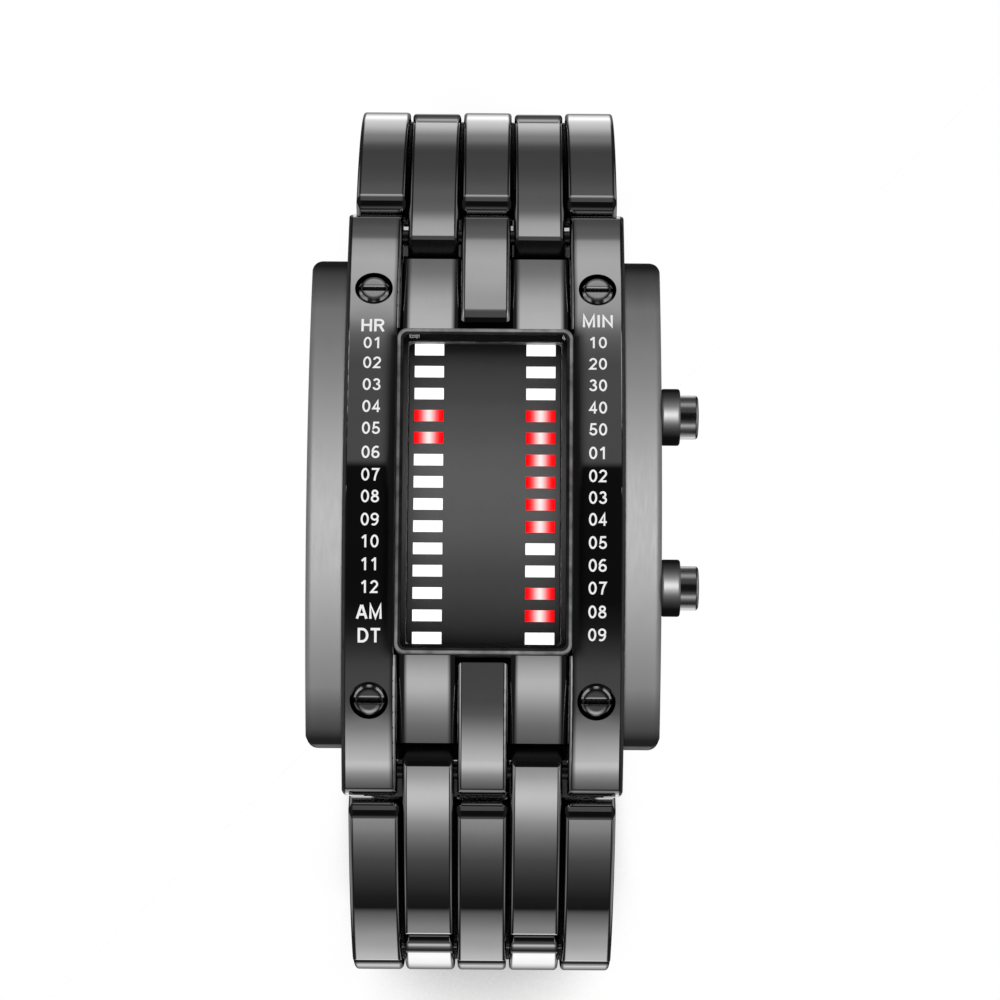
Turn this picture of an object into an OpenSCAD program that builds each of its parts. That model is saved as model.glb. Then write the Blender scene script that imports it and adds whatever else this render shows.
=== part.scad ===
// Bracelet watch with a lamp display: hours and minutes are read from two columns of lamps.
// The watch stands closed on the flat cover of its folding clasp, face up.
// +Z points out of the face, +Y to twelve o'clock and +X to three o'clock, where the pushers are.

/* [Case] */
// Width of the case over the side plates
case_w = 35.9; // [35:0.1:40]
// Length of the case over the side plates
case_l = 50.2; // [49.8:0.1:52]
// Radius of the arch that the bars on the face follow
arch_r = 56; // [52:1:70]
// How far the side plates lie below the bars
side_drop = 3.0; // [2.4:0.1:3.2]
// Depth of the case from the top of the arch to the underside of its slab
slab_depth = 9.0; // [8.8:0.1:10]
// Radius of the slab's underside
under_r = 95; // [80:1:140]
// Size of the rounded edge along the side plates
side_edge = 0.6; // [0.2:0.1:1]

/* [Bars on the face] */
// Width of the two bars that carry the lettering
letter_w = 5.6; // [5.4:0.1:6]
// Distance from the middle to the inner side of a lettered bar
letter_in = 8.6; // [8.5:0.05:8.7]
// Thickness of the bars and links
bar_t = 3.4; // [3:0.1:3.8]
// Radius of the rounded edges along the bars and links
bar_edge = 0.45; // [0.2:0.05:0.7]
// Distance from the middle to the inner end of a centre bar
centre_in = 17.4; // [17.2:0.1:18]
// Distance from the middle to the outer end of an inner plate
plate_out = 25.0; // [24:0.1:25]
// How far the inner ends of the inner plates lie below the bars
plate_drop = 0.4; // [0.2:0.1:0.8]
// Slope of the inner plates at their inner ends
plate_tilt = 26; // [24:1:27]
// Radius that the tops of the inner plates are bent to
plate_r = 100; // [80:5:140]
// Distance from the middle to the slotted screws along the face
screw_y = 21.1; // [20:0.1:22]
// Radius of the head of a slotted screw
screw_head_r = 1.62; // [1.4:0.02:1.8]

/* [Window] */
// Half the width of the window frame
frame_x = 8.9; // [8.85:0.05:9]
// Half the length of the window frame
frame_y = 16.6; // [16.4:0.1:16.8]
// Width of the rim of the window frame
rim_w = 0.6; // [0.4:0.05:0.8]
// Depth of the crystal's top face below the top of the arch
crystal_top = 2.4; // [2.2:0.1:2.6]
// Thickness of the crystal
crystal_t = 1.2; // [1:0.1:1.4]
// Number of lamps in a column
lamps = 14; // [12:1:14]
// Distance from one lamp to the next
lamp_pitch = 2.27; // [2.1:0.01:2.3]
// Distance from the middle to a column of lamps
lamp_x = 5.67; // [5:0.01:5.8]
// Width of a lamp
lamp_w = 2.95; // [2:0.05:3]
// Height of a lamp on the dial
lamp_h = 1.15; // [0.8:0.05:1.3]

/* [Pushers] */
// Distance between the two pushers
pusher_pitch = 17.6; // [16:0.1:19]
// Place of the pushers' midpoint along the case
pusher_mid = -0.4; // [-1:0.1:1]
// Radius of a pusher's collar
collar_r = 2.9; // [2.7:0.05:2.95]
// How far a collar stands out from the case
collar_l = 1.9; // [1.6:0.1:2.4]
// Radius of a pusher's head
head_r = 2.23; // [2:0.01:2.4]
// How far a pusher stands out from its collar
head_out = 1.85; // [1.4:0.05:2.2]
// Travel of a pusher
pusher_travel = 0.7; // [0.4:0.1:0.8]

/* [Bracelet] */
// Width of one column of the bracelet
col_w = 5.15; // [4.9:0.05:5.2]
// Gap between two columns
col_gap = 0.33; // [0.25:0.01:0.4]
// Distance between the two hinge pins of a link
link_pitch = 23.6; // [22:0.1:25]
// Radius of a link's arch
link_r = 34; // [30:1:60]
// Distance from the middle of the case to its hinge pin
case_pin_y = 27.7; // [27.7:0.1:29]
// How far a finger reaches past its hinge pin
finger_reach = 2.5; // [2.2:0.1:2.7]
// Gap between the ends of two pieces in one column
end_gap = 0.3; // [0.2:0.05:0.5]
// Angle of the first link below the face
dir_1 = 47; // [45:1:50]
// Angle of the second link below the face
dir_2 = 97; // [95:1:100]
// Angle of the third link below the face
dir_3 = 160; // [158:1:162]
// Radius of a hinge pin
pin_r = 0.75; // [0.6:0.05:0.8]
// Radius of the pins that hold the columns of a link together
tie_r = 0.5; // [0.4:0.05:0.6]

/* [Clasp] */
// Width of the clasp's cover
cover_w = 26; // [25:0.1:27]
// Thickness of the clasp's cover
cover_t = 1.2; // [1:0.1:1.2]
// Thickness of the cover's side walls
wall_t = 1.3; // [1.1:0.1:1.4]
// Height of the strap pins above the face that the clasp rests on
strap_pin_z = 2.2; // [2.1:0.1:2.4]
// Thickness of the inner blade
blade_t = 1.0; // [0.8:0.1:1.1]

/* [Back] */
// Half the width of the case back
back_x = 13.2; // [13:0.1:13.6]
// Half the length of the case back
back_y = 19.5; // [19.4:0.1:19.6]
// Thickness of the case back
back_t = 1.0; // [0.8:0.1:1.2]

/* [Hidden] */
$fn = 64;

// Clearances
seat_gap = 0.05;
pin_fit = 0.05;
side_fit = 0.05;
nil = 0.01;
side_ease = 0.02;
past = 2;

// Angles and places that follow from the sizes
dirs = [dir_1, dir_2, dir_3];
mid_r = arch_r - bar_t / 2;
seat_r = arch_r - bar_t - seat_gap;
side_r = arch_r - side_drop;
end_r = bar_t / 2;
pin_angle = asin(case_pin_y / mid_r);
pin_z = mid_r * cos(pin_angle) - arch_r;
end_angle = pin_angle + deg((finger_reach - end_r) / mid_r);
col_pitch = col_w + col_gap;
band_x = 2 * col_pitch + col_w / 2;
centre_x = col_w / 2 - 0.05;
plate_x = centre_x + 0.28;
plate_w = letter_in - 0.25 - plate_x;
plate_centre = [frame_y - plate_r * sin(plate_tilt),
    rise(arch_r, frame_y) - plate_drop - plate_r * cos(plate_tilt)];
bar_end_y = mid_r * sin(end_angle) + end_r;
plan_edge = 0.6;
rib = col_gap - 0.03;
rib_t = 1.2;
case_corner = 1.2;
case_lip_y = case_pin_y - 1.5;
swing_r = finger_reach + 0.2;
slot_w = 0.42;
slot_bevel = 0.12;
head_rise = 0.06;
head_bevel = 0.28;

// Hinge pins, from the case to the clasp, as [distance from the middle, height below the arch]
pin_0 = [case_pin_y, pin_z];
pin_1 = pin_0 + along(dir_1);
pin_2 = pin_1 + along(dir_2);
pin_3 = pin_2 + along(dir_3);
pins = [pin_0, pin_1, pin_2, pin_3];
strap_y = pin_3[0];
face_z = strap_pin_z - pin_3[1];

// The pins that hold the columns of a link together, as distances from the near hinge pin
tie_in = 6.8;
tie_s = [tie_in, link_pitch - tie_in];

// Places of the stack inside the case, as heights below the top of the arch
crystal_low = -crystal_top - crystal_t;
gasket_t = 0.35;
seat_z = crystal_low - gasket_t - seat_gap;
frame_low = seat_z - 0.95;
ledge_w = 1.15;
mask_z = crystal_low - 0.85;
mask_t = 0.3;
board_z = frame_low - 0.55;
board_t = 0.8;
chip_w = 5;
boss_z = -slab_depth - 1.2;
cavity_x = 9.6;
cavity_y = 17.0;
cavity_top = frame_low - 1.3;
cell_r = 8.0;
cell_t = 1.6;
cell_y = 8.3;
strap_t = 0.15;
strap_w = 5;
contact_w = 3.6;
contact_h = 1.5;
cell_low = boss_z + strap_t + 2 * seat_gap;
groove_x = cavity_x + 0.75;
groove_y = cavity_y + 0.75;
groove_w = 0.6;
back_corner = 2.3;
back_screw_x = back_x - 1.2;
back_screw_y = screw_y - 6;
back_screw_r = 0.5;
shank_in = 2.3;

// Pusher sizes
pusher_z = -slab_depth + 2.4;
tube_r = 1.9;
tube_in = 3.4;
stem_r = 0.8;
head_in = 0.95;
well_r = 1.45;
well_in = 2.3;
case_x = case_w / 2;
spring_wire_r = 0.17;
spring_turns = 5;

// Clasp sizes
cover_y = strap_y - finger_reach - 0.5;
cover_x = cover_w / 2;
hinge_y = -cover_y + 2.3;
fold_y = cover_y - 2.7;
hinge_z = 2.6;
knuckle_r = 1.15;
clasp_pin_r = 0.55;
rail_out = cover_x - wall_t - 0.15;
tongue_x = 1.5 * col_pitch + col_w / 2 - col_pitch / 2 - 0.05;
rail_in = tongue_x + 0.35;
wall_z = 4.1;
stud_r = 0.85;
stud_y = -6;

function deg(turn) = turn * 180 / PI;
function rise(r, y) = sqrt(r * r - y * y) - r;
function along(direction) = link_pitch * [cos(direction), -sin(direction)];
function pusher_y(side) = pusher_mid + side * pusher_pitch / 2;
function lamp_y(i) = (i - (lamps - 1) / 2) * lamp_pitch;
function bulge(s) = sqrt(link_r * link_r - pow(s - link_pitch / 2, 2)) - sqrt(link_r * link_r - pow(link_pitch / 2, 2));

// Plain shapes that repeat

// A rectangle with rounded corners, centred
module round_rect(x, y, r) {
    square([2 * x - 2 * r, 2 * y], center = true);
    square([2 * x, 2 * y - 2 * r], center = true);
    for (i = [-1, 1], j = [-1, 1])
        translate([i * (x - r), j * (y - r)]) circle(r);
}

// A plate with rounded corners between two heights
module plate(x, y, r, low, high) {
    translate([0, 0, low]) linear_extrude(high - low) round_rect(x, y, r);
}

// A rectangular ring between two heights
module ring(x, y, r, w, low, high) {
    difference() {
        plate(x, y, r, low, high);
        plate(x - w, y - w, max(r - w, 0.1), low - past, high + past);
    }
}

// A cylinder along X, centred on x
module rod(x, r, l) {
    translate([x, 0, 0]) rotate([0, 90, 0]) cylinder(r = r, h = l, center = true);
}

// Turns a revolve from Z to X, with its start at +Y and its sweep towards +Z
module on_x() {
    rotate([90, 0, 90]) children();
}

// Section of a bar from one radius to another, with its outer corners rounded and a rib on its sides
module bar_section(r_in, r_out, x0, w, edge, ribs) {
    translate([r_in, x0]) {
        square([r_out - r_in - edge, w]);
        translate([0, edge]) square([r_out - r_in, w - 2 * edge]);
        for (j = [edge, w - edge])
            translate([r_out - r_in - edge, j]) circle(edge);
        if (ribs[0] + ribs[1] > 0) translate([(r_out - r_in - rib_t) / 2, -ribs[0]])
            square([rib_t, w + ribs[0] + ribs[1]]);
    }
}

// A bar bent round X at the origin, between two angles from +Z towards +Y
module arched(r_in, r_out, x0, w, edge, from, to, ribs = [0, 0]) {
    on_x() rotate([0, 0, 90 - to])
        rotate_extrude(angle = to - from) bar_section(r_in, r_out, x0, w, edge, ribs);
}

// Outline of a bar seen from above, a hair wider than the bar, to round its corners
module bar_plan(x0, w, y0, y1) {
    translate([x0 + w / 2, (y0 + y1) / 2, 0]) linear_extrude(2 * arch_r, center = true)
        round_rect(w / 2 + side_ease, (y1 - y0) / 2 + side_ease, plan_edge);
}

// Side view of a bar: a band of an arc with half-round ends, a hair thicker than the bar itself
module bar_side(r, from, to) {
    half = end_r + side_ease;
    intersection() {
        difference() {
            circle(r + half, $fn = 180);
            circle(r - half, $fn = 180);
        }
        polygon([[0, 0], 2 * r * [sin(from), cos(from)], 2 * r * [sin(to), cos(to)]]);
    }
    for (a = [from, to]) rotate(-a) translate([0, r]) circle(half);
}

// Frames that pieces are drawn in

// The face's frame: its origin is the top of the arch
module on_face() {
    translate([0, 0, face_z]) children();
}

// The twelve o'clock half, or its mirror image at six o'clock
module on_side(side) {
    if (side > 0) children();
    else mirror([0, 1, 0]) children();
}

// Along a radius of the arch, at an angle from the middle
module on_arch(angle) {
    translate([0, 0, -arch_r]) rotate([-angle, 0, 0]) children();
}

// A link's frame: its origin is the pin nearer the case, +Y runs to the other pin
module on_link(side, k) {
    on_face() on_side(side) translate([0, pins[k - 1][0], pins[k - 1][1]])
        rotate([-dirs[k - 1], 0, 0]) children();
}

// One pusher's frame: +Z runs outwards from the side of the case
module on_pusher(side) {
    on_face() translate([case_x, pusher_y(side), pusher_z]) rotate([0, 90, 0]) children();
}

// Case

// A bar on the face, from an angle of the arch to the round end that holds the spring bar
module face_bar(x0, w, from) {
    translate([0, 0, -arch_r]) intersection() {
        arched(arch_r - bar_t, arch_r, x0, w, bar_edge, from, end_angle + 3);
        rotate([90, 0, 90]) translate([0, 0, x0 - w]) linear_extrude(3 * w) bar_side(mid_r, from - 3, end_angle);
        bar_plan(x0, w, centre_in, bar_end_y);
    }
}

module pin_bore_at_case() {
    translate([0, pin_0[0], pin_0[1]]) rod(0, pin_r + pin_fit, case_w);
}

module screw_bore(x, side) {
    on_arch(side * asin(screw_y / arch_r)) translate([x, 0, 0]) {
        cylinder(r = 0.75, h = arch_r + past);
        translate([0, 0, arch_r - 1.15]) cylinder(r = screw_head_r + 0.26, h = past);
    }
}

module letter_bar(side) {
    x0 = side > 0 ? letter_in : -letter_in - letter_w;
    color("#55575c") on_face() difference() {
        translate([0, 0, -arch_r]) intersection() {
            arched(arch_r - bar_t, arch_r, x0, letter_w, bar_edge, -end_angle - 3, end_angle + 3);
            rotate([90, 0, 90]) translate([0, 0, x0 - letter_w]) linear_extrude(3 * letter_w)
                bar_side(mid_r, -end_angle, end_angle);
            bar_plan(x0, letter_w, -bar_end_y, bar_end_y);
        }
        translate([0, 0, -case_l / 2])
            cube([2 * frame_x + 2 * side_fit, 2 * frame_y + 4 * side_fit, case_l + past], center = true);
        for (end = [1, -1]) {
            on_side(end) translate([0, pin_0[0], pin_0[1]])
                rod(side * (letter_in + letter_w - 1) / 2, pin_r + pin_fit, letter_in + letter_w - 1);
            screw_bore(side * (letter_in + letter_w / 2), end);
        }
    }
}

module centre_bar(side) {
    color("#6a6c71") on_face() on_side(side) difference() {
        face_bar(-centre_x, 2 * centre_x, asin(centre_in / arch_r));
        pin_bore_at_case();
    }
}

module inner_plates(side) {
    color("#7b7d82") on_face() on_side(side) for (i = [0, 1]) mirror([i, 0, 0])
        translate([plate_x, 0, 0]) rotate([90, 0, 90]) linear_extrude(plate_w) intersection() {
            difference() {
                translate(plate_centre) circle(plate_r, $fn = 256);
                translate([0, -arch_r]) circle(seat_r + seat_gap, $fn = 180);
            }
            translate([frame_y + side_fit, -arch_r]) square([plate_out - frame_y - side_fit, arch_r]);
        }
}

module case_blank() {
    intersection() {
        translate([0, 0, -arch_r]) arched(past, side_r, -case_x, case_w, side_edge, -40, 40);
        slab_side(case_w + past, case_l / 2 + past, 0, 0);
        plate(case_x + side_ease, case_l / 2, case_corner, -2 * slab_depth, past);
    }
    // The end walls that curve round the fingers of the first links
    slab_side(2 * letter_in, case_lip_y, pin_z, seat_gap);
    plate(back_x + 0.4, back_y + 0.3, back_corner + 0.2, boss_z, -slab_depth + 1);
}

// A slab across the case with the arched underside, up to a height
module slab_side(w, y, high, up) {
    rotate([90, 0, 90]) linear_extrude(w, center = true) difference() {
        translate([-y, -2 * slab_depth]) square([2 * y, 2 * slab_depth + high]);
        translate([0, -slab_depth - under_r]) circle(under_r + up, $fn = 128);
    }
}

module case_body() {
    color("#4c4e53") on_face() difference() {
        case_blank();
        // The bed that the bars and plates lie in
        intersection() {
            difference() {
                translate([0, 0, -slab_depth])
                    cube([2 * (letter_in + letter_w + side_fit), case_l + past, 2 * slab_depth], center = true);
                translate([0, 0, -arch_r]) rod(0, seat_r, case_w + past);
            }
            translate([0, 0, -arch_r]) rod(0, arch_r, case_w);
        }
        // Room for the first links to swing
        for (side = [1, -1]) on_side(side) translate([0, pin_0[0], pin_0[1]])
            rod(0, swing_r, 2 * (letter_in + letter_w));
        // The opening that holds the window frame, and the ledge below it
        plate(frame_x + side_fit, frame_y + side_fit, 1, frame_low - seat_gap, past);
        plate(frame_x - ledge_w, frame_y - ledge_w, 0.6, cavity_top - past, past);
        // The recess that the back lies in, the room for the module, its groove and its screws
        plate(back_x + side_fit, back_y + side_fit, back_corner, 2 * boss_z, boss_z);
        plate(cavity_x, cavity_y, 1, boss_z - past, cavity_top);
        ring(groove_x + groove_w / 2, groove_y + groove_w / 2, 1.2, groove_w, boss_z - past, boss_z + 0.45);
        for (i = [-1, 1], j = [-1, 1]) translate([i * back_screw_x, j * back_screw_y, boss_z - past])
            cylinder(r = back_screw_r + 0.03, h = past + 1.9);
        for (i = [-1, 1], side = [-1, 1]) screw_hole(i, side);
        for (side = [-1, 1]) translate([case_x + past, pusher_y(side), pusher_z]) rotate([0, -90, 0])
            cylinder(r = tube_r + side_fit, h = case_x - cavity_x + 2 * past);
    }
}

// The threaded hole under a slotted screw
module screw_hole(i, side) {
    on_arch(side * asin(screw_y / arch_r))
        translate([i * (letter_in + letter_w / 2), 0, seat_r - shank_in - 0.2])
            cylinder(r = 0.63, h = shank_in + 0.2 + past);
}

module face_screws() {
    color("#8d8f94") on_face() for (i = [-1, 1], side = [-1, 1])
        on_arch(side * asin(screw_y / arch_r)) translate([i * (letter_in + letter_w / 2), 0, 0]) {
            translate([0, 0, seat_r - shank_in]) cylinder(r = 0.6, h = arch_r - 1.1 - seat_r + shank_in);
            translate([0, 0, arch_r + head_rise]) difference() {
                rotate_extrude() polygon([[0, -1.1 - head_rise], [screw_head_r, -1.1 - head_rise],
                    [screw_head_r, -head_bevel / 2], [screw_head_r - head_bevel, 0], [0, 0]]);
                cube([2 * screw_head_r + 1, slot_w, 1.2], center = true);
                // The bevels along the slot
                rotate([45, 0, 0]) cube([2 * screw_head_r + 1, (slot_w / 2 + slot_bevel) * sqrt(2),
                    (slot_w / 2 + slot_bevel) * sqrt(2)], center = true);
            }
        }
}

module window_frame() {
    color("#b9bbbf") on_face() difference() {
        plate(frame_x, frame_y, 1, frame_low, -crystal_top + 0.1);
        plate(frame_x - rim_w, frame_y - rim_w, 0.6, seat_z, past);
        plate(frame_x - ledge_w, frame_y - ledge_w, 0.4, frame_low - past, past);
    }
}

module crystal() {
    color("#24262a") on_face()
        plate(frame_x - rim_w - side_fit, frame_y - rim_w - side_fit, 0.55, crystal_low, -crystal_top);
}

module crystal_gasket() {
    color("#111111") on_face()
        ring(frame_x - rim_w - side_fit, frame_y - rim_w - side_fit, 0.55, ledge_w - rim_w - 0.1,
            crystal_low - gasket_t, crystal_low - nil);
}

module lamp_blocks(side, grow, low, high) {
    for (i = [0:lamps - 1]) translate([side * lamp_x, lamp_y(i), (low + high) / 2])
        cube([lamp_w + 2 * grow, lamp_h + 2 * grow, high - low], center = true);
}

module display_mask() {
    color("#17181a") on_face() difference() {
        plate(frame_x - ledge_w - 0.1, frame_y - ledge_w - 0.1, 0.4, mask_z - mask_t, mask_z);
        for (side = [-1, 1]) lamp_blocks(side, 0.03, mask_z - 1, mask_z + 1);
    }
}

module lamp_column(side) {
    on_face() lamp_blocks(side, 0, board_z + nil, mask_z);
}

module lamp_board() {
    color("#1d5a34") on_face()
        plate(frame_x - ledge_w - 0.1, frame_y - ledge_w - 0.1, 0.4, board_z - board_t, board_z);
}

module driver_chip() {
    color("#202020") on_face() translate([0, 0, board_z - board_t - 0.45 - nil])
        cube([chip_w, chip_w, 0.9], center = true);
}

module module_frame() {
    color("#2e3034") on_face() difference() {
        plate(cavity_x - 0.15, cavity_y - 0.15, 1, cell_low + 0.2, cavity_top - 0.1);
        // Pocket for the chip under the board
        translate([0, 0, cavity_top]) cube([chip_w + 0.3, chip_w + 0.3, 2.5], center = true);
        // Pockets for the cells
        for (side = [-1, 1]) translate([0, side * cell_y, boss_z - past])
            cylinder(r = cell_r + 0.1, h = cell_low + cell_t + nil - boss_z + past);
        // Slots for the pusher contacts
        for (side = [-1, 1]) translate([cavity_x, pusher_y(side), pusher_z])
            cube([1.6, contact_w + 0.8, 3.4], center = true);
    }
}

module coin_cells() {
    color("#c9cbce") on_face() for (side = [-1, 1]) translate([0, side * cell_y, cell_low])
        difference() {
            cylinder(r = cell_r, h = cell_t);
            translate([0, 0, cell_t - 0.15]) difference() {
                cylinder(r = cell_r - 0.6, h = 1);
                translate([0, 0, -nil]) cylinder(r = cell_r - 1.1, h = 1 + past);
            }
        }
}

module battery_strap() {
    color("#b8a060") on_face() translate([0, 0, boss_z + seat_gap + strap_t / 2])
        cube([strap_w, 2 * cell_y + cell_r + 1, strap_t], center = true);
}

// The leaf springs that the pushers press
module pusher_contacts() {
    color("#c8a24a") on_face() for (side = [-1, 1])
        translate([cavity_x - 0.68, pusher_y(side), cavity_top - 0.15 - contact_h / 2])
            cube([0.2, contact_w, contact_h], center = true);
}

module case_back() {
    color("#9a9ca1") on_face() difference() {
        plate(back_x, back_y, back_corner, boss_z - back_t, boss_z - nil);
        for (i = [-1, 1], j = [-1, 1]) translate([i * back_screw_x, j * back_screw_y, boss_z - back_t - past]) {
            cylinder(r = back_screw_r + 0.1, h = back_t + 2 * past);
            cylinder(r = 0.95, h = past + 0.5);
        }
    }
}

module back_gasket() {
    color("#111111") on_face()
        ring(groove_x + groove_w / 2 - 0.05, groove_y + groove_w / 2 - 0.05, 1.15, groove_w - 0.1,
            boss_z, boss_z + 0.4);
}

module back_screws() {
    color("#b0b2b6") on_face() for (i = [-1, 1], j = [-1, 1])
        translate([i * back_screw_x, j * back_screw_y, boss_z - back_t]) difference() {
            union() {
                translate([0, 0, 0.05]) cylinder(r = 0.9, h = 0.42);
                translate([0, 0, 0.05]) cylinder(r = back_screw_r, h = back_t + 1.7);
            }
            cube([0.26, past, 0.5], center = true);
        }
}

// The two spring bars that carry the bracelet at the case
module case_spring_bars() {
    color("#bfc1c5") on_face() for (side = [-1, 1]) on_side(side)
        translate([0, pin_0[0], pin_0[1]]) rod(0, pin_r, 2 * (letter_in + letter_w - 1.2));
}

// Pushers

module pusher_tubes() {
    color("#85878c") for (side = [-1, 1]) on_pusher(side) difference() {
        union() {
            rotate_extrude() {
                translate([0, nil]) square([collar_r - 0.25, collar_l - nil]);
                translate([0, 0.25]) square([collar_r, collar_l - 0.5]);
                for (z = [0.26, collar_l - 0.25]) translate([collar_r - 0.25, z]) circle(0.25);
            }
            translate([0, 0, -tube_in]) cylinder(r = tube_r, h = tube_in + 1);
        }
        translate([0, 0, collar_l - head_in - pusher_travel - 0.1]) cylinder(r = head_r + side_fit, h = past + 1);
        translate([0, 0, -well_in]) cylinder(r = well_r, h = well_in + past);
        translate([0, 0, -tube_in - past]) cylinder(r = stem_r + pin_fit, h = tube_in + 2 * past);
        translate([0, 0, -well_in - 0.95]) cylinder(r = 1.35, h = 0.65);
    }
}

module pusher_seals() {
    color("#101010") for (side = [-1, 1]) on_pusher(side) translate([0, 0, -well_in - 0.625])
        rotate_extrude() translate([stem_r + 0.02 + 0.25, 0]) circle(0.25, $fn = 32);
}

// The pushers' springs, at their pressed length, resting on the floor of their wells
function coil_point(turn, r, rise) = [r * cos(360 * turn), r * sin(360 * turn), rise * turn];
function coil_side(turn, a, r, rise, wire) =
    coil_point(turn, r, rise) + wire * (cos(a) * [cos(360 * turn), sin(360 * turn), 0] + sin(a) * [0, 0, 1]);

module coil(r, wire, turns, h, steps = 14, sides = 6) {
    rise = (h - 2 * wire) / turns;
    n = turns * steps;
    points = [for (i = [0:n], j = [0:sides - 1]) coil_side(i / steps, 360 * j / sides, r, rise, wire)];
    walls = [for (i = [0:n - 1], j = [0:sides - 1])
        let (a = i * sides + j, b = i * sides + (j + 1) % sides)
            each [[a, a + sides, b + sides], [a, b + sides, b]]];
    low_cap = [for (j = [1:sides - 2]) [0, j, j + 1]];
    high_cap = [for (j = [1:sides - 2]) [n * sides, n * sides + j + 1, n * sides + j]];
    translate([0, 0, wire]) polyhedron(concat(points), concat(walls, low_cap, high_cap), convexity = 8);
}

module pusher_springs() {
    spring_h = well_in + collar_l - head_in - pusher_travel - 0.2;
    color("#c4c6ca") for (side = [-1, 1]) on_pusher(side) translate([0, 0, -well_in + seat_gap])
        coil((well_r + stem_r) / 2, spring_wire_r, spring_turns, spring_h);
}

module pusher(side) {
    color("#8b8d92") on_pusher(side) difference() {
        union() {
            rotate_extrude() {
                translate([0, collar_l - head_in]) square([head_r - 0.3, head_in + head_out]);
                translate([0, collar_l - head_in]) square([head_r, head_in + head_out - 0.3]);
                translate([head_r - 0.3, collar_l + head_out - 0.3]) circle(0.3);
            }
            translate([0, 0, collar_l + head_out + 0.1 - 22]) intersection() {
                sphere(22, $fn = 200);
                translate([0, 0, 21]) cylinder(r = head_r - 0.3, h = 2);
            }
            translate([0, 0, -tube_in - 1.4]) cylinder(r = stem_r, h = tube_in + 1.4 + collar_l);
        }
        // The groove for the clip
        translate([0, 0, -tube_in - 0.5 - nil]) difference() {
            cylinder(r = stem_r + 1, h = 0.4);
            translate([0, 0, -past]) cylinder(r = stem_r - 0.25, h = 2 * past);
        }
    }
}

// The clip that keeps a pusher in its tube
module pusher_clip(side) {
    color("#a8aaae") on_pusher(side) translate([0, 0, -tube_in - 0.47]) difference() {
        cylinder(r = 1.5, h = 0.34);
        translate([0, 0, -past]) cylinder(r = stem_r - 0.23, h = 2 * past);
        translate([0, 1.2, 0]) cube([2 * stem_r - 0.6, 2.4, past], center = true);
    }
}

// Bracelet

// One bar of a link between two distances from the near pin, in a column at x
module link_bar(x, s0, s1, ribs = [0, 0]) {
    axis_n = bulge(link_pitch / 2) - link_r;
    from = asin((s0 + end_r - link_pitch / 2) / link_r);
    to = asin((s1 - end_r - link_pitch / 2) / link_r);
    translate([0, link_pitch / 2, axis_n]) intersection() {
        arched(link_r - end_r, link_r + end_r, x - col_w / 2, col_w, bar_edge, from - 4, to + 4, ribs);
        rotate([90, 0, 90]) translate([0, 0, x - col_w]) linear_extrude(2 * col_w) bar_side(link_r, from, to);
        bar_plan(x - col_w / 2 - ribs[0], col_w + ribs[0] + ribs[1],
            link_r * sin(from) - end_r, link_r * sin(to) + end_r);
    }
}

module bores(list, r) {
    for (s = list) translate([0, s, s == 0 || s == link_pitch ? 0 : bulge(s)]) rod(0, r, case_w);
}

module link_outer(side, k) {
    far = link_pitch + finger_reach;
    short = link_pitch - finger_reach - end_gap;
    color("#5d5f64") on_link(side, k) difference() {
        for (c = [-2, 0, 2])
            link_bar(c * col_pitch, finger_reach + end_gap, k == 3 && c == 0 ? short : far,
                [c > -2 ? rib : 0, c < 2 ? rib : 0]);
        bores([link_pitch], pin_r + pin_fit);
        bores(tie_s, tie_r + pin_fit);
    }
}

module link_inner(side, k) {
    color("#6c6e73") on_link(side, k) difference() {
        for (c = [-1, 1])
            link_bar(c * col_pitch, -finger_reach, link_pitch - finger_reach - end_gap);
        bores([0], pin_r + pin_fit);
        bores(tie_s, tie_r + pin_fit);
    }
}

module link_pins(side, k) {
    color("#bfc1c5") on_link(side, k) {
        if (side > 0 || k < 3) rod_at(link_pitch, 0, pin_r);
        for (s = tie_s) rod_at(s, bulge(s), tie_r);
    }
}

// A pin across the whole band, at a distance along the link and a height above its pins
module rod_at(s, n, r) {
    translate([0, s, n]) rod(0, r, 2 * (band_x - 0.15));
}

// Clasp

module tongue(y) {
    translate([0, y, strap_pin_z]) rod(0, end_r, 2 * tongue_x);
}

module clasp_cover() {
    color("#63656a") difference() {
        union() {
            difference() {
                rotate([90, 0, 0]) linear_extrude(2 * cover_y, center = true) cover_section();
                plate(cover_x - wall_t, cover_y + past, 0.3, cover_t, 2 * wall_z);
            }
            // The end wall and the tongue that the twelve o'clock half is pinned to
            translate([-tongue_x, cover_y - 1.1, cover_t / 2])
                cube([2 * tongue_x, 1.1, strap_pin_z + end_r - cover_t / 2]);
            translate([-tongue_x, cover_y - 0.5, strap_pin_z - end_r])
                cube([2 * tongue_x, strap_y - cover_y + 0.5, 2 * end_r]);
            tongue(strap_y);
        }
        translate([0, strap_y, strap_pin_z]) rod(0, pin_r + pin_fit, cover_w);
        translate([0, hinge_y, hinge_z]) rod(0, clasp_pin_r + 0.02, cover_w + past);
        translate([0, stud_y, -nil]) cylinder(r = 0.5 + 0.02, h = 2 * cover_t);
    }
}

// Section of the clasp's cover across the band, open towards the wrist
module cover_section() {
    edge = 0.8;
    translate([-cover_x + edge, 0]) square([2 * (cover_x - edge), wall_z]);
    translate([-cover_x, edge]) square([2 * cover_x, wall_z - edge]);
    for (i = [-1, 1]) translate([i * (cover_x - edge), edge]) circle(edge);
}

// Two short pins hold the outer blade between the cover's side walls
module clasp_hinge_pins() {
    l = cover_x - 0.1 - rail_in - 0.2;
    color("#bfc1c5") for (i = [-1, 1]) translate([0, hinge_y, hinge_z])
        rod(i * (cover_x - 0.1 - l / 2), clasp_pin_r, l);
}

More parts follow.
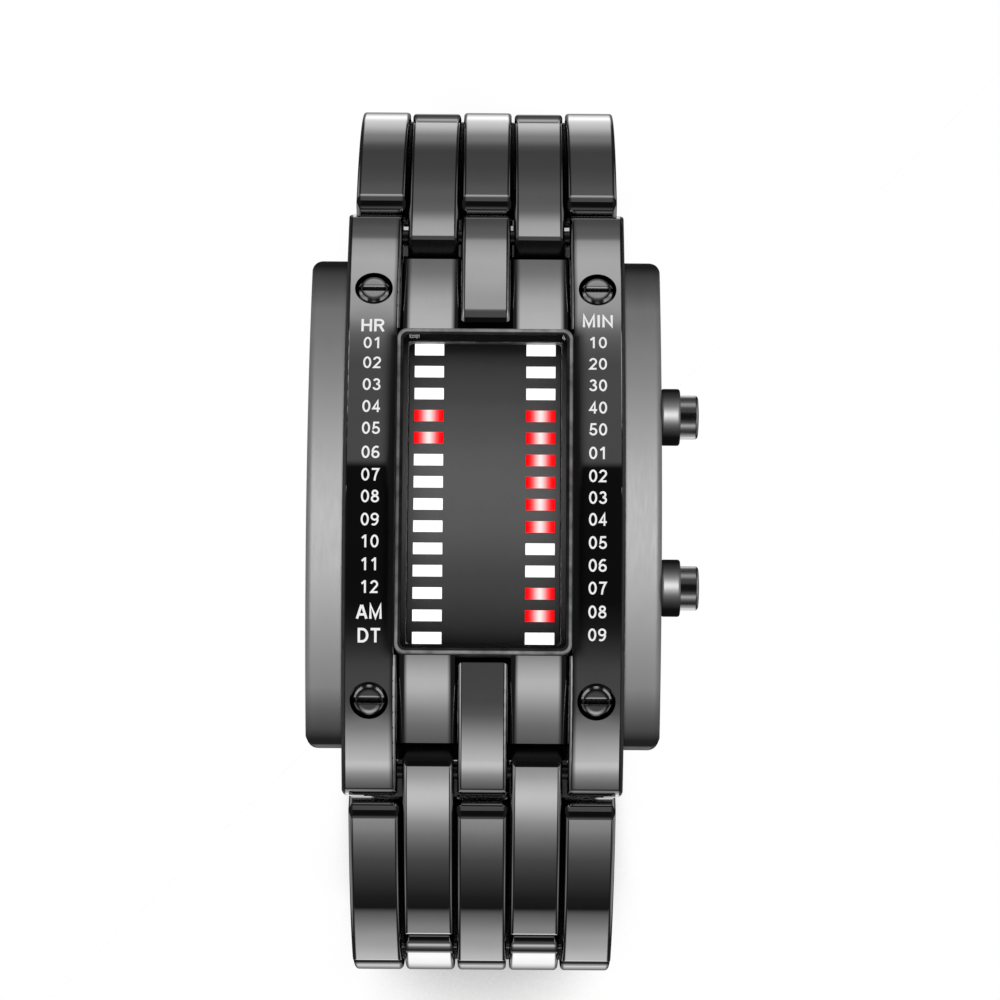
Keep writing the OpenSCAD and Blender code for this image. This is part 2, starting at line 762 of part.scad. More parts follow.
// The outer blade: two rails joined by a plate, so that the inner blade folds between them
module clasp_blade_1() {
    rail_w = rail_out - rail_in;
    rail_low = cover_t + 0.25;
    color("#a4a6ab") difference() {
        union() {
            for (i = [-1, 1]) translate([i * (rail_in + rail_w / 2), 0, 0]) {
                translate([0, (hinge_y + fold_y) / 2, (rail_low + hinge_z + 0.9) / 2])
                    cube([rail_w, fold_y - hinge_y, hinge_z + 0.9 - rail_low], center = true);
                for (y = [hinge_y, fold_y]) translate([0, y, hinge_z]) rod(0, knuckle_r, rail_w);
            }
            translate([0, 3, rail_low + 0.3]) cube([2 * rail_in + 1, 8, 0.6], center = true);
        }
        translate([0, hinge_y, hinge_z]) rod(0, clasp_pin_r + pin_fit, cover_w);
        translate([0, fold_y, hinge_z]) rod(0, clasp_pin_r + 0.02, cover_w);
    }
}

module clasp_fold_pin() {
    color("#bfc1c5") translate([0, fold_y, hinge_z]) rod(0, clasp_pin_r, 2 * (rail_out - 0.1));
}

// The inner blade, with the tongue for the six o'clock half at its end
module clasp_blade_2() {
    blade_low = hinge_z + 0.95 - blade_t;
    color("#a4a6ab") difference() {
        union() {
            translate([0, fold_y, hinge_z]) rod(0, knuckle_r, 2 * tongue_x);
            translate([0, (fold_y - strap_y) / 2, blade_low + blade_t / 2])
                cube([2 * tongue_x, fold_y + strap_y, blade_t], center = true);
            translate([-tongue_x, -strap_y, strap_pin_z - end_r])
                cube([2 * tongue_x, 1.6, 2 * end_r]);
            tongue(-strap_y);
        }
        translate([0, fold_y, hinge_z]) rod(0, clasp_pin_r + pin_fit, cover_w);
        translate([0, -strap_y, strap_pin_z]) rod(0, pin_r + pin_fit, cover_w);
        translate([0, stud_y, 0]) cylinder(r = stud_r + 0.15, h = 2 * wall_z);
        translate([0, 4, 0]) plate(tongue_x - 2.2, 4, 1, 0, 2 * wall_z);
    }
}

// The stud in the cover that the inner blade snaps over
module clasp_stud() {
    color("#d0d2d5") translate([0, stud_y, 0]) {
        translate([0, 0, 0.05]) cylinder(r = 0.5, h = 2);
        translate([0, 0, cover_t + nil]) cylinder(r = stud_r, h = hinge_z + 0.8 - cover_t);
    }
}

// The six o'clock spring bar, drawn in as it is when the strap is taken off
module clasp_spring_bar() {
    color("#bfc1c5") translate([0, -strap_y, strap_pin_z]) rod(0, pin_r, 2 * (tongue_x - 0.1));
}

case_body();
letter_bar(-1);  // letter_bar_left
letter_bar(1);  // letter_bar_right
centre_bar(1);  // centre_bar_top
centre_bar(-1);  // centre_bar_bottom
inner_plates(1);  // inner_plates_top
inner_plates(-1);  // inner_plates_bottom
window_frame();
crystal();
crystal_gasket();
display_mask();
color("#ffffff") lamp_column(-1);  // hour_lamps
color("#ffffff") lamp_column(1);  // minute_lamps
lamp_board();
driver_chip();
module_frame();
coin_cells();
battery_strap();
pusher_contacts();
case_back();
back_gasket();
back_screws();
face_screws();
case_spring_bars();
pusher_tubes();
pusher_springs();
pusher_seals();
pusher(1);  // pusher_upper
pusher(-1);  // pusher_lower
pusher_clip(1);  // pusher_clip_upper
pusher_clip(-1);  // pusher_clip_lower
link_outer(1, 1);  // link_12_1_outer
link_inner(1, 1);  // link_12_1_inner
link_pins(1, 1);  // link_12_1_pins
link_outer(1, 2);  // link_12_2_outer
link_inner(1, 2);  // link_12_2_inner
link_pins(1, 2);  // link_12_2_pins
link_outer(1, 3);  // link_12_3_outer
link_inner(1, 3);  // link_12_3_inner
link_pins(1, 3);  // link_12_3_pins
link_outer(-1, 1);  // link_6_1_outer
link_inner(-1, 1);  // link_6_1_inner
link_pins(-1, 1);  // link_6_1_pins
link_outer(-1, 2);  // link_6_2_outer
link_inner(-1, 2);  // link_6_2_inner
link_pins(-1, 2);  // link_6_2_pins
link_outer(-1, 3);  // link_6_3_outer
link_inner(-1, 3);  // link_6_3_inner
link_pins(-1, 3);  // link_6_3_pins
clasp_cover();
clasp_hinge_pins();
clasp_blade_1();
clasp_fold_pin();
clasp_blade_2();
clasp_stud();
clasp_spring_bar();
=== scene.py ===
"""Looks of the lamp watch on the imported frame: plated metal, smoked glass, lamps, lettering and a studio."""
import math

import bpy
import numpy as np
from mathutils import Matrix, Vector


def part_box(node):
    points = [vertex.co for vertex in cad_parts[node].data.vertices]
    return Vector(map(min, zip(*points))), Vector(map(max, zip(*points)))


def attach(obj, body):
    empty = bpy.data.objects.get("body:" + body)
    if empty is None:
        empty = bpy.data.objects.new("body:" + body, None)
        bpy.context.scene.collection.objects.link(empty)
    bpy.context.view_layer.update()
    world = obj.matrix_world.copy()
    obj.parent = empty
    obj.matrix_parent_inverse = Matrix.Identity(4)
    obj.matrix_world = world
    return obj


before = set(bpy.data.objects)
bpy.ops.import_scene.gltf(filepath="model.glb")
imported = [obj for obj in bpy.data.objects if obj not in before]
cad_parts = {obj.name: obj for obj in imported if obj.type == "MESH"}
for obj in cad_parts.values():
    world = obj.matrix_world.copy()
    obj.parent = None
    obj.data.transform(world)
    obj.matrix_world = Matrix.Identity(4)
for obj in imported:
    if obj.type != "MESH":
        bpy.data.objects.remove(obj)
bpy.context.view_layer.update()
MM = 0.001
SCENE = bpy.context.scene

# Places read from the frame, in metres
bar_low, bar_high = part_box("letter_bar_right")
mask_low, mask_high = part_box("display_mask")
lamp_low, lamp_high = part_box("minute_lamps")
FACE_TOP = bar_high.z
LETTER_X = (bar_low.x + bar_high.x) / 2
MASK_LENGTH = mask_high.y - mask_low.y
LAMP_X, LAMP_HALF = (lamp_low.x + lamp_high.x) / 2, (lamp_high.x - lamp_low.x) / 2

# Sizes of the watch that its finishes follow
ARCH_R = 56 * MM
BED_R, BED_X = 50.7 * MM, 14.24 * MM
COLUMN_PITCH, COLUMN_HALF = 5.48 * MM, 2.575 * MM
LAMP_ROWS, LAMP_PITCH = 14, 2.27 * MM
SCREW_X, SCREW_Y, SCREW_R = 11.4 * MM, 21.12 * MM, 1.62 * MM
PUSHER_MIDDLE, PUSHER_HALF_PITCH, COLLAR_R = -0.4 * MM, 8.8 * MM, 2.9 * MM
FRAME_X, FRAME_Y, FRAME_CORNER = 8.9 * MM, 16.6 * MM, 1.1 * MM
# First pin (Y, height) of each pair of links, and the angle that they slope down at
LINK_PINS = {1: (27.7, 50.956, 47), 2: (43.795, 33.696, 97), 3: (40.919, 10.272, 160)}
# Farther than any piece reaches, for an edge or a pitch that a bar doesn't have
FAR = 1.0


# Node helpers

def opaque(shade):
    """An opaque colour, from a grey or from red, green and blue."""
    return (*shade, 1) if isinstance(shade, tuple) else (shade, shade, shade, 1)


def new_material(name):
    """An empty node material with its Principled shader."""
    made = bpy.data.materials.new(name)
    made.use_nodes = True
    tree = made.node_tree
    tree.nodes.clear()
    out = tree.nodes.new("ShaderNodeOutputMaterial")
    skin = tree.nodes.new("ShaderNodeBsdfPrincipled")
    tree.links.new(skin.outputs["BSDF"], out.inputs["Surface"])
    return made, tree, skin


def set_plain(skin, values):
    """Values that are the same all over, set on the shader's own sockets."""
    for key, value in values.items():
        skin.inputs[key].default_value = value


def add(tree, kind, values=None, **settings):
    """A node with its settings and the values of its sockets."""
    node = tree.nodes.new("ShaderNode" + kind)
    for key, value in settings.items():
        setattr(node, key, value)
    for key, value in (values or {}).items():
        node.inputs[key].default_value = value
    return node


def maths(tree, operation, *terms):
    """The output of a Math node on sockets or numbers."""
    node = add(tree, "Math", operation=operation)
    for socket, term in zip(node.inputs, terms):
        if isinstance(term, (int, float)):
            socket.default_value = term
        else:
            tree.links.new(term, socket)
    return node.outputs[0]


def hypotenuse(tree, first, second):
    """Root of the sum of two squares."""
    squares = [maths(tree, "POWER", side, 2.0) for side in (first, second)]
    return maths(tree, "SQRT", maths(tree, "ADD", *squares))


def ramp(tree, factor, stops):
    """A colour ramp over a socket: stops are (position, grey or colour)."""
    node = add(tree, "ValToRGB")
    elements = node.color_ramp.elements
    while len(elements) > 1:
        elements.remove(elements[-1])
    for i, (position, shade) in enumerate(stops):
        element = elements[0] if i == 0 else elements.new(position)
        element.position = position
        element.color = opaque(shade)
    tree.links.new(factor, node.inputs[0])
    return node.outputs["Color"]


def ramp_over(tree, distance, stops):
    """A ramp whose stops are (distance in metres, grey), up to the last stop's distance."""
    span = stops[-1][0]
    share = maths(tree, "MULTIPLY", distance, 1 / span)
    return ramp(tree, share, [(reach / span, shade) for reach, shade in stops])


def blend(tree, factor, first, second, kind="MIX"):
    """A mix of two colours, each a socket or a colour."""
    node = add(tree, "Mix", data_type="RGBA", blend_type=kind)
    for socket, term in zip((node.inputs[0], node.inputs[6], node.inputs[7]), (factor, first, second)):
        if isinstance(term, (int, float)):
            socket.default_value = term
        elif isinstance(term, tuple):
            socket.default_value = opaque(term)
        else:
            tree.links.new(term, socket)
    return node.outputs[2]


def mixed(tree, factor, first, second):
    """A mix of two shader nodes: the first where the factor is 0, the second where it is 1."""
    node = add(tree, "MixShader")
    for socket, source in zip(node.inputs, (factor, first.outputs[0], second.outputs[0])):
        tree.links.new(source, socket)
    return node


def group(name, inputs, outputs):
    """A node group that reads a place, Vector, with more inputs and its outputs as (name, kind)."""
    tree = bpy.data.node_groups.new(name, "ShaderNodeTree")
    for way, sockets in (("INPUT", [("Vector", "Vector"), *inputs]), ("OUTPUT", outputs)):
        for label, kind in sockets:
            tree.interface.new_socket(label, in_out=way, socket_type="NodeSocket" + kind)
    return tree, tree.nodes.new("NodeGroupInput").outputs, tree.nodes.new("NodeGroupOutput").inputs


def axes(tree, place):
    """The sockets X, Y and Z of a place."""
    split = add(tree, "SeparateXYZ")
    tree.links.new(place, split.inputs[0])
    return split.outputs


def unsigned(tree, socket):
    """A value without its sign."""
    return maths(tree, "ABSOLUTE", socket)


def object_place(tree):
    """The surface's own Object coordinates, in metres."""
    return add(tree, "TexCoord").outputs["Object"]


def effect(tree, place, node_tree, values=None):
    """A group node that is fed with the place on the surface and its values."""
    node = add(tree, "Group", values, node_tree=node_tree)
    tree.links.new(place, node.inputs["Vector"])
    return node


# Effects that several materials share, and the masks and forms that they are given

HAIR_SCALE, HAIR_DETAIL, HAIR_ROUGHNESS = (9000, 500, 500), 3.0, 0.6
CLOUD_SCALE, CLOUD_DETAIL, CLOUD_ROUGHNESS = 240.0, 4.0, 0.55
TONE_DRIFT = 0.12
HAIR_GLOSS = 1.5
# Painted shade: the dark colour, the matt gloss and its power that masks lay into gaps, recesses and dark
# reflections
PAINTED_SHADE, PAINTED_SHADE_MATT, PAINTED_SHADE_POWER = (0.006, 0.006, 0.007), 0.6, 3.0


def plating():
    """Plating: hairlines along the band, a slow drift of tone and gloss, and matt painted shade where a mask
    puts it.
    """
    tree, value, made = group(
        "plating",
        [("Colour", "Color"), ("Roughness", "Float"), ("Hairlines", "Float"), ("Depth", "Float"),
         ("Painted Shade", "Float")],
        [("Colour", "Color"), ("Roughness", "Float"), ("Height", "Float")])
    stretch = add(tree, "Mapping", {"Scale": HAIR_SCALE})
    hair = add(tree, "TexNoise", {"Scale": 1.0, "Detail": HAIR_DETAIL, "Roughness": HAIR_ROUGHNESS})
    cloud = add(tree, "TexNoise",
                {"Scale": CLOUD_SCALE, "Detail": CLOUD_DETAIL, "Roughness": CLOUD_ROUGHNESS})
    tree.links.new(value["Vector"], stretch.inputs["Vector"])
    tree.links.new(stretch.outputs[0], hair.inputs["Vector"])
    tree.links.new(value["Vector"], cloud.inputs["Vector"])
    off_middle = maths(tree, "SUBTRACT", hair.outputs["Fac"], 0.5)
    streak = maths(tree, "MULTIPLY", off_middle, value["Hairlines"])
    drift = maths(tree, "MULTIPLY_ADD", cloud.outputs["Fac"], TONE_DRIFT, 1 - TONE_DRIFT / 2)
    toned = blend(tree, 1.0, value["Colour"], maths(tree, "ADD", streak, drift), "MULTIPLY")
    tree.links.new(blend(tree, value["Painted Shade"], toned, PAINTED_SHADE), made["Colour"])
    varied = maths(tree, "MULTIPLY_ADD", streak, HAIR_GLOSS, drift)
    gloss = maths(tree, "MULTIPLY", value["Roughness"], varied)
    matt = maths(tree, "POWER", value["Painted Shade"], PAINTED_SHADE_POWER)
    tree.links.new(maths(tree, "MULTIPLY_ADD", matt, PAINTED_SHADE_MATT, gloss), made["Roughness"])
    tree.links.new(maths(tree, "MULTIPLY", hair.outputs["Fac"], value["Depth"]), made["Height"])
    return tree


MOTTLE_STOPS = [(0.3, 0.0), (0.7, 1.0)]
MOTTLE_MATT = 0.2


def mottle():
    """Mottle: colour that drifts from a low to a high one in clouds, and gloss that drifts with it."""
    tree, value, made = group(
        "mottle",
        [("Scale", "Float"), ("Detail", "Float"), ("Low", "Color"), ("High", "Color"),
         ("Roughness", "Float")],
        [("Colour", "Color"), ("Roughness", "Float")])
    cloud = add(tree, "TexNoise")
    for label in ("Vector", "Scale", "Detail"):
        tree.links.new(value[label], cloud.inputs[label])
    spread = ramp(tree, cloud.outputs["Fac"], MOTTLE_STOPS)
    tree.links.new(blend(tree, spread, value["Low"], value["High"]), made["Colour"])
    smoothest = maths(tree, "SUBTRACT", value["Roughness"], MOTTLE_MATT / 2)
    gloss = maths(tree, "MULTIPLY_ADD", cloud.outputs["Fac"], MOTTLE_MATT, smoothest)
    tree.links.new(gloss, made["Roughness"])
    return tree


# Half the width of the painted shade in each slit, and where the knuckle's painted shade starts and how strong
# it is
SLIT_HALF = 0.19 * MM
KNUCKLE_START, KNUCKLE_PAINTED_SHADE = -2.1 * MM, 0.9


def column_gaps():
    """A mask of painted shade on a link: in the slits between its columns, and on the knuckle behind its first
    pin.
    """
    tree, value, made = group(
        "column_gaps", [("Along Y", "Float"), ("Along Z", "Float"), ("Start", "Float")], [("Mask", "Float")])
    at = axes(tree, value["Vector"])
    across = unsigned(tree, at["X"])
    turn = maths(tree, "FRACT", maths(tree, "MULTIPLY_ADD", across, 1 / COLUMN_PITCH, 0.5))
    away = maths(tree, "MINIMUM", turn, maths(tree, "SUBTRACT", 1.0, turn))
    slit = maths(tree, "LESS_THAN", away, SLIT_HALF / COLUMN_PITCH)
    inside = maths(tree, "LESS_THAN", across, 2 * COLUMN_PITCH)
    out = maths(tree, "MULTIPLY", unsigned(tree, at["Y"]), value["Along Y"])
    down = maths(tree, "MULTIPLY", at["Z"], value["Along Z"])
    along = maths(tree, "SUBTRACT", maths(tree, "ADD", out, down), value["Start"])
    behind = maths(tree, "LESS_THAN", along, KNUCKLE_START)
    painted_dark = maths(tree, "MULTIPLY", slit, inside), maths(tree, "MULTIPLY", behind, KNUCKLE_PAINTED_SHADE)
    tree.links.new(maths(tree, "MAXIMUM", *painted_dark), made["Mask"])
    return tree


def arch_distance(tree, at):
    """Distance from the axis that the face's arch is bent round."""
    return hypotenuse(tree, at["Y"], maths(tree, "SUBTRACT", at["Z"], FACE_TOP - ARCH_R))


def case_bed():
    """A mask of painted shade on the bed in the case that the bars lie on: near the middle in X and high on
    the arch.
    """
    tree, value, made = group("case_bed", [], [("Mask", "Float")])
    at = axes(tree, value["Vector"])
    high = maths(tree, "GREATER_THAN", arch_distance(tree, at), BED_R)
    inside = maths(tree, "LESS_THAN", unsigned(tree, at["X"]), BED_X)
    tree.links.new(maths(tree, "MULTIPLY", high, inside), made["Mask"])
    return tree


# Share of its length that a slotted screw's head keeps as seen from above, on the slope of the bar
SCREW_LEAN = 0.927


def screw_distance(tree, at):
    """Distances on the bar's slope from the nearest slotted screw's middle, and up or down from its slot."""
    aside = maths(tree, "SUBTRACT", unsigned(tree, at["X"]), SCREW_X)
    along = maths(tree, "SUBTRACT", unsigned(tree, at["Y"]), SCREW_Y)
    slope = maths(tree, "MULTIPLY", along, 1 / SCREW_LEAN)
    return hypotenuse(tree, aside, slope), unsigned(tree, slope)


# How much painted shade a collar gets, by the share of its radius out from its axis
COLLAR_SHADE = [(0.3, 0.0), (0.6, 0.6), (0.82, 0.95), (0.95, 0.98)]


def collar_ends():
    """A mask of painted shade that grows out from the axis of a pusher's collar along Y: a painted dark
    reflection where the collar mirrors the dark.
    """
    tree, value, made = group("collar_ends", [], [("Mask", "Float")])
    at = axes(tree, value["Vector"])
    from_middle = unsigned(tree, maths(tree, "SUBTRACT", at["Y"], PUSHER_MIDDLE))
    off_axis = unsigned(tree, maths(tree, "SUBTRACT", from_middle, PUSHER_HALF_PITCH))
    shade = ramp(tree, maths(tree, "MULTIPLY", off_axis, 1 / COLLAR_R), COLLAR_SHADE)
    tree.links.new(shade, made["Mask"])
    return tree


# Width of the painted shade in the ring round each screw
RING_WIDTH = 0.31 * MM
# The rounded outer edges start this far out in X and lie this high on the arch, and get this much painted
# shade
BAR_EDGE, EDGE_R, EDGE_PAINTED_SHADE = 13.8 * MM, 55.6 * MM, 0.85
# The painted shade beside the window frame, by the distance out in X, and its share by the distance along Y
WINDOW_SHADE = [(9.1 * MM, 0.93), (9.45 * MM, 0.82), (9.75 * MM, 0.52), (10.1 * MM, 0.18), (10.45 * MM, 0.0),
                (20 * MM, 0.0)]
BESIDE_WINDOW = [(15.8 * MM, 1.0), (17.1 * MM, 0.0), (20 * MM, 0.0)]


def bar_painted_shade():
    """A mask of painted shade on the lettered bars: round each screw, on the rounded outer edges, and beside
    the window.
    """
    tree, value, made = group("bar_painted_shade", [], [("Mask", "Float")])
    at = axes(tree, value["Vector"])
    ring = maths(tree, "LESS_THAN", screw_distance(tree, at)[0], SCREW_R + RING_WIDTH)
    across = unsigned(tree, at["X"])
    outside = maths(tree, "GREATER_THAN", across, BAR_EDGE)
    high = maths(tree, "GREATER_THAN", arch_distance(tree, at), EDGE_R)
    edge = maths(tree, "MULTIPLY", maths(tree, "MULTIPLY", outside, high), EDGE_PAINTED_SHADE)
    inner = ramp_over(tree, across, WINDOW_SHADE)
    beside = ramp_over(tree, unsigned(tree, at["Y"]), BESIDE_WINDOW)
    ring_and_edge_shade = maths(tree, "MAXIMUM", ring, edge)
    shaded = maths(tree, "MULTIPLY", inner, beside)
    tree.links.new(maths(tree, "MAXIMUM", ring_and_edge_shade, shaded), made["Mask"])
    return tree


def bend(tree, reach, start, slope, width):
    """Height that falls away past a start: minus slope over twice the width, times the way past squared."""
    past = maths(tree, "MAXIMUM", maths(tree, "SUBTRACT", reach, start), 0.0)
    curve = maths(tree, "DIVIDE", slope, maths(tree, "MULTIPLY", width, -2.0))
    return maths(tree, "MULTIPLY", maths(tree, "MULTIPLY", past, past), curve)


ROLL_VALUES = ("Middle", "Pitch", "Half", "Roll", "Slope", "End", "Fall", "Steep", "Nose")
NOSE_STEEP, NOSE_FALL = 0.45, 1.3 * MM


def rolled_edges():
    """Height of a bar whose long edges and ends are rolled over softly, folded onto its nearest column."""
    inputs = [(label, "Float") for label in ROLL_VALUES]
    tree, value, made = group("rolled_edges", inputs, [("Height", "Float")])
    at = axes(tree, value["Vector"])
    across = maths(tree, "SUBTRACT", unsigned(tree, at["X"]), value["Middle"])
    column = maths(tree, "ROUND", maths(tree, "DIVIDE", across, value["Pitch"]))
    column_x = maths(tree, "MULTIPLY", column, value["Pitch"])
    away = unsigned(tree, maths(tree, "SUBTRACT", across, column_x))
    flat_half = maths(tree, "SUBTRACT", value["Half"], value["Roll"])
    sides = bend(tree, away, flat_half, value["Slope"], value["Roll"])
    out = unsigned(tree, at["Y"])
    ends = bend(tree, out, value["End"], value["Steep"], value["Fall"])
    inward, nose_start = [maths(tree, "MULTIPLY", way, -1.0) for way in (out, value["Nose"])]
    nose = bend(tree, inward, nose_start, NOSE_STEEP, NOSE_FALL)
    tree.links.new(maths(tree, "ADD", maths(tree, "ADD", sides, ends), nose), made["Height"])
    return tree


# Start, slope and width of the falls to a screw's rim and to its slot
PILLOW_RIM = (0.9 * MM, 0.24, 0.45 * MM)
PILLOW_LIP = (-0.55 * MM, 0.2, 0.3 * MM)


def pillow_heads():
    """Height of the screw heads: each half is a soft pillow that falls to its rim and to the slot."""
    tree, value, made = group("pillow_heads", [], [("Height", "Float")])
    at = axes(tree, value["Vector"])
    from_screw, from_slot = screw_distance(tree, at)
    rim = bend(tree, from_screw, *PILLOW_RIM)
    lip = bend(tree, maths(tree, "MULTIPLY", from_slot, -1.0), *PILLOW_LIP)
    tree.links.new(maths(tree, "ADD", rim, lip), made["Height"])
    return tree


# Glow of a lit lamp, from its heart to its sides
RED_HEART = [(0.0, (1, 0.74, 0.73)), (0.1, (1, 0.66, 0.65)), (0.31, (1, 0.36, 0.365)), (0.51, (1, 0.1, 0.11)),
             (0.71, (1, 0.012, 0.016)), (0.9, (1, 0.0, 0.002)), (1.0, (1, 0.0, 0.002))]


def lamp_glow():
    """A lamp's red glow with a soft white heart, and the number of the lamp's row, counted from the top."""
    tree, value, made = group("lamp_glow", [], [("Colour", "Color"), ("Row", "Float")])
    at = axes(tree, value["Vector"])
    off_heart = unsigned(tree, maths(tree, "SUBTRACT", unsigned(tree, at["X"]), LAMP_X))
    tree.links.new(ramp(tree, maths(tree, "MULTIPLY", off_heart, 1 / LAMP_HALF), RED_HEART), made["Colour"])
    count = maths(tree, "MULTIPLY_ADD", at["Y"], -1 / LAMP_PITCH, (LAMP_ROWS + 1) / 2)
    tree.links.new(maths(tree, "ROUND", count), made["Row"])
    return tree


PLATING, MOTTLE, LAMP_GLOW = plating(), mottle(), lamp_glow()
COLUMN_GAPS, CASE_BED, BAR_PAINTED_SHADE, COLLAR_ENDS = column_gaps(), case_bed(), bar_painted_shade(), collar_ends()
ROLLED_EDGES, PILLOW_HEADS = rolled_edges(), pillow_heads()


# Materials

def metal(name, grey, roughness, hairlines=0.05, depth=4e-7, recess=None, recess_values=None,
          form=None, form_values=None, tint=(1.0, 1.0, 1.0), ends=None):
    """Plated or plain metal: recess masks where painted shade lies, form adds a soft shape, ends darken it
    along Y with painted shade.
    """
    made, tree, skin = new_material(name)
    place = object_place(tree)
    colour = opaque(tuple(grey * part for part in tint))
    values = {"Colour": colour, "Roughness": roughness, "Hairlines": hairlines, "Depth": depth}
    finish = effect(tree, place, PLATING, values)
    if recess:
        painted_dark = effect(tree, place, recess, recess_values)
        tree.links.new(painted_dark.outputs["Mask"], finish.inputs["Painted Shade"])
    colour, height = finish.outputs["Colour"], finish.outputs["Height"]
    # Painted shade along Y, where ends are given
    if ends:
        out = unsigned(tree, axes(tree, place)["Y"])
        colour = blend(tree, 1.0, colour, ramp_over(tree, out, ends), "MULTIPLY")
    if form:
        height = maths(tree, "ADD", height, effect(tree, place, form, form_values).outputs["Height"])
    bump = add(tree, "Bump", {"Distance": 1.0})
    tree.links.new(height, bump.inputs["Height"])
    tree.links.new(colour, skin.inputs["Base Color"])
    tree.links.new(finish.outputs["Roughness"], skin.inputs["Roughness"])
    tree.links.new(bump.outputs[0], skin.inputs["Normal"])
    set_plain(skin, {"Metallic": 1.0})
    return made


GUNMETAL, POLISH = 0.345, 0.036
EDGE_SLOPE = 0.25


def rolled(name, middle, half, roll, grey=GUNMETAL, end=FAR, fall=FAR, steep=0.0, pitch=FAR, nose=0.0,
           **more):
    """Polished gunmetal plating on a bar or a row of columns with rolled edges."""
    values = dict(zip(ROLL_VALUES, (middle, pitch, half, roll, EDGE_SLOPE, end, fall, steep, nose)))
    return metal(name, grey, POLISH, form=ROLLED_EDGES, form_values=values, **more)


def mottled(tree, scale, detail, low, high, roughness=0.5):
    """The sockets Colour and Roughness of a surface that is mottled between two greys or colours."""
    values = {"Scale": scale, "Detail": detail, "Roughness": roughness}
    values |= {"Low": opaque(low), "High": opaque(high)}
    return effect(tree, object_place(tree), MOTTLE, values).outputs


MOULDED_SCALE, MOULDED_DETAIL = 900.0, 4.0


def moulded(name, colour, roughness, contrast=0.08):
    """A moulded or matt material: its colour and gloss drift a little over the surface."""
    made, tree, skin = new_material(name)
    low, high = [tuple(min(1, part * (1 + way * contrast)) for part in colour) for way in (-1, 1)]
    drift = mottled(tree, MOULDED_SCALE, MOULDED_DETAIL, low, high, roughness)
    tree.links.new(drift["Colour"], skin.inputs["Base Color"])
    tree.links.new(drift["Roughness"], skin.inputs["Roughness"])
    return made


def smoked_glass(name):
    """Clear mineral glass with a faint smoky drift."""
    made, tree, skin = new_material(name)
    smoke = mottled(tree, scale=120.0, detail=2.0, low=0.93, high=0.97)
    tree.links.new(smoke["Colour"], skin.inputs["Base Color"])
    set_plain(skin, {"Roughness": 0.0, "IOR": 1.5, "Transmission Weight": 1.0})
    return made


# Painted glow of the display sheet, which is no lamp, from six o'clock to twelve, and its share from the
# middle to the sides, where painted shade dims it
SHEET_PAINTED_GLOW = [(0.0, 0.006), (0.03, 0.018), (0.068, 0.031), (0.12, 0.0437), (0.17, 0.0545), (0.22, 0.0612),
              (0.27, 0.0723), (0.32, 0.0865), (0.37, 0.0998), (0.42, 0.107), (0.48, 0.1119), (0.53, 0.1119),
              (0.58, 0.1095), (0.63, 0.1046), (0.68, 0.0931), (0.73, 0.0823), (0.78, 0.0742), (0.82, 0.0612),
              (0.87, 0.0545), (0.92, 0.0423), (0.955, 0.025), (0.975, 0.0105), (1.0, 0.004)]
SHEET_SIDES = [(0.0, 1.0), (0.6, 1.0), (0.73, 0.9), (0.8, 0.75), (0.87, 0.58), (0.93, 0.45)]
# Share of their glow that the sheet and the lamps show as paint
SHEET_PAINT, LAMP_PAINT = (0.1, 0.1, 0.1), (0.2, 0.2, 0.2)
# The little that matt surfaces under the glass mirror
DULL = 0.05


def display_face(name):
    """The sheet behind the glass: a painted grey glow, though it is no lamp, brightest in the middle, that
    fades to its ends and edges as painted shade.
    """
    made, tree, skin = new_material(name)
    at = axes(tree, object_place(tree))
    glow = ramp(tree, maths(tree, "MULTIPLY_ADD", at["Y"], 1 / MASK_LENGTH, 0.5), SHEET_PAINTED_GLOW)
    dim = ramp(tree, maths(tree, "MULTIPLY", unsigned(tree, at["X"]), 1 / FRAME_X), SHEET_SIDES)
    speck = mottled(tree, scale=2500.0, detail=2.0, low=0.96, high=1.0)["Colour"]
    shade = blend(tree, 1.0, blend(tree, 1.0, glow, dim, "MULTIPLY"), speck, "MULTIPLY")
    tree.links.new(shade, skin.inputs["Emission Color"])
    tree.links.new(blend(tree, 1.0, shade, SHEET_PAINT, "MULTIPLY"), skin.inputs["Base Color"])
    set_plain(skin, {"Emission Strength": 1.0, "Specular IOR Level": DULL, "Roughness": 0.6})
    return made


# How near a number has to be to a row's own
SAME_ROW = 0.4


def lamp_faces(name, lit):
    """Lamp faces: white ones that glow though they are unlit, as painted light, and in the lit rows red ones
    with a soft white heart.
    """
    made, tree, skin = new_material(name)
    glow = effect(tree, object_place(tree), LAMP_GLOW).outputs
    on, *others = [maths(tree, "COMPARE", glow["Row"], row, SAME_ROW) for row in lit]
    for row in others:
        on = maths(tree, "MAXIMUM", on, row)
    face = blend(tree, on, (1.0, 1.0, 1.0), glow["Colour"])
    tree.links.new(face, skin.inputs["Emission Color"])
    tree.links.new(blend(tree, 1.0, face, LAMP_PAINT, "MULTIPLY"), skin.inputs["Base Color"])
    set_plain(skin, {"Emission Strength": 1.3, "Specular IOR Level": DULL, "Roughness": 0.5})
    return made


# Share of the rim's tone, by the distance in from its outline: a pale outer edge as a painted highlight, then
# a dark lip as painted shade
RIM_HIGHLIGHT_AND_SHADE = [(0.0, 0.5), (0.12 * MM, 1.0), (0.28 * MM, 1.0), (0.36 * MM, 0.08), (0.9 * MM, 0.08), (MM, 1.0)]


